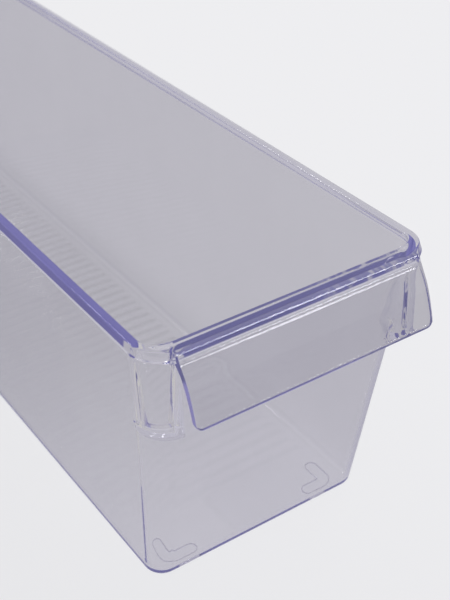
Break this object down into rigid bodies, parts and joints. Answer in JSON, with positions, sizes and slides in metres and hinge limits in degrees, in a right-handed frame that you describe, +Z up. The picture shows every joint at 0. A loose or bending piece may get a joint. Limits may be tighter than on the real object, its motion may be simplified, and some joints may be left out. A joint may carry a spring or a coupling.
{
  "type": "refrigerator storage bin",
  "caption": "Long narrow open-topped clear bin with a solid rim, hanging front finger pull, stacking shoulders at the corners, ribbed floor and small corner feet.",
  "frame": {"origin": "bottom centre of the whole bin's bounding box, on the plane the feet rest on", "axes": "+Z up; -Y is the front, with the finger pull; +X is to the right seen from the front; the long side runs along Y"},
  "size_m": [0.1, 0.368, 0.1061],
  "materials": {
    "clear_plastic": "clear, glossy, faint lavender-grey tint",
    "rim_plastic": "the same clear plastic seen through its thick edge, blue-violet"
  },
  "bodies": {
    "root": {"floor_panel": "clear_plastic", "floor_ribs": "clear_plastic", "front_wall": "clear_plastic", "back_wall": "clear_plastic", "left_wall": "clear_plastic", "right_wall": "clear_plastic", "corner_front_left": "clear_plastic", "corner_front_right": "clear_plastic", "corner_back_left": "clear_plastic", "corner_back_right": "clear_plastic", "rim_front": "rim_plastic", "rim_back": "rim_plastic", "rim_left": "rim_plastic", "rim_right": "rim_plastic", "front_pull": "clear_plastic", "foot_front_left": "clear_plastic", "foot_front_right": "clear_plastic", "foot_back_left": "clear_plastic", "foot_back_right": "clear_plastic"}
  },
  "joints": []
}
